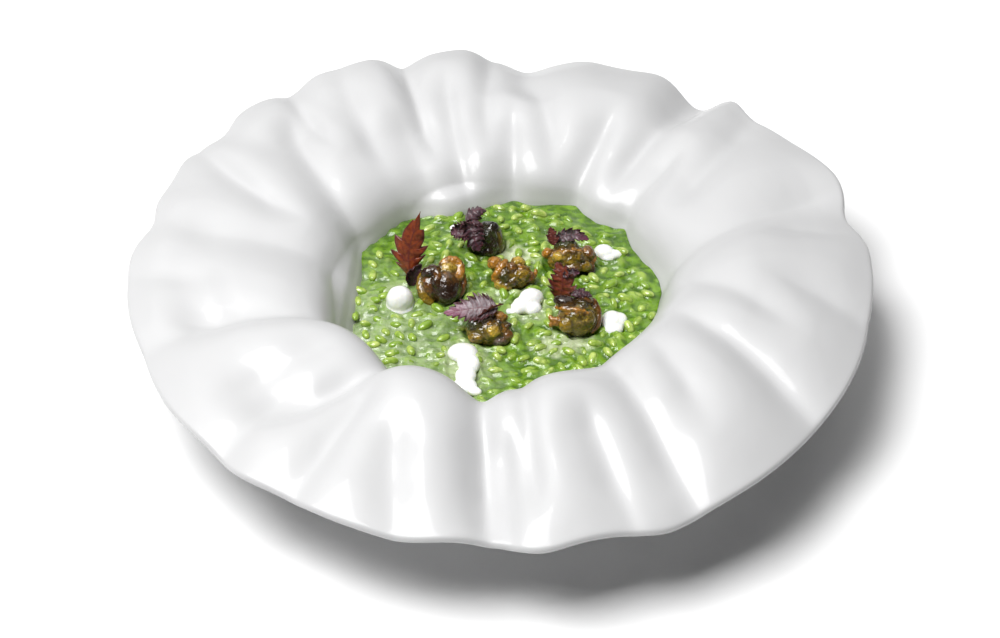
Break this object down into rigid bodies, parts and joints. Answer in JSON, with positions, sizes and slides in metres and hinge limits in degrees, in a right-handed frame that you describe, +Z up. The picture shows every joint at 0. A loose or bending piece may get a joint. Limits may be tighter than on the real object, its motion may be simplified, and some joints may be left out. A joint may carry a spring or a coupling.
{
  "type": "risotto on a pleated plate",
  "caption": "Green risotto with cooked snails, spoonfuls of cream and purple leaves, served in the well of a white porcelain plate with a deeply pleated rim.",
  "frame": {"origin": "on the table, under the middle of the plate's bounding box", "axes": "+Z up, +X to the right and +Y away from the diner, who faces the steep side of the well"},
  "size_m": [0.3074, 0.3037, 0.0569],
  "materials": {
    "porcelain": "glossy white glaze",
    "risotto": "moist green rice in a glossy herb sauce",
    "snail": "glossy cooked meat, golden brown to black",
    "cream": "soft white cream with a satin shine",
    "leaf": "dark purple and red leaf, slightly velvety"
  },
  "bodies": {
    "root": {"plate": "porcelain", "risotto": "risotto", "snail_1": "snail", "snail_2": "snail", "snail_3": "snail", "snail_4": "snail", "snail_5": "snail", "snail_6": "snail", "cream_1": "cream", "cream_2": "cream", "cream_3": "cream", "cream_4": "cream", "cream_5": "cream", "cream_6": "cream", "leaf_1": "leaf", "leaf_2": "leaf", "leaf_3": "leaf", "leaf_4": "leaf", "leaf_5": "leaf", "leaf_6": "leaf"}
  },
  "joints": []
}
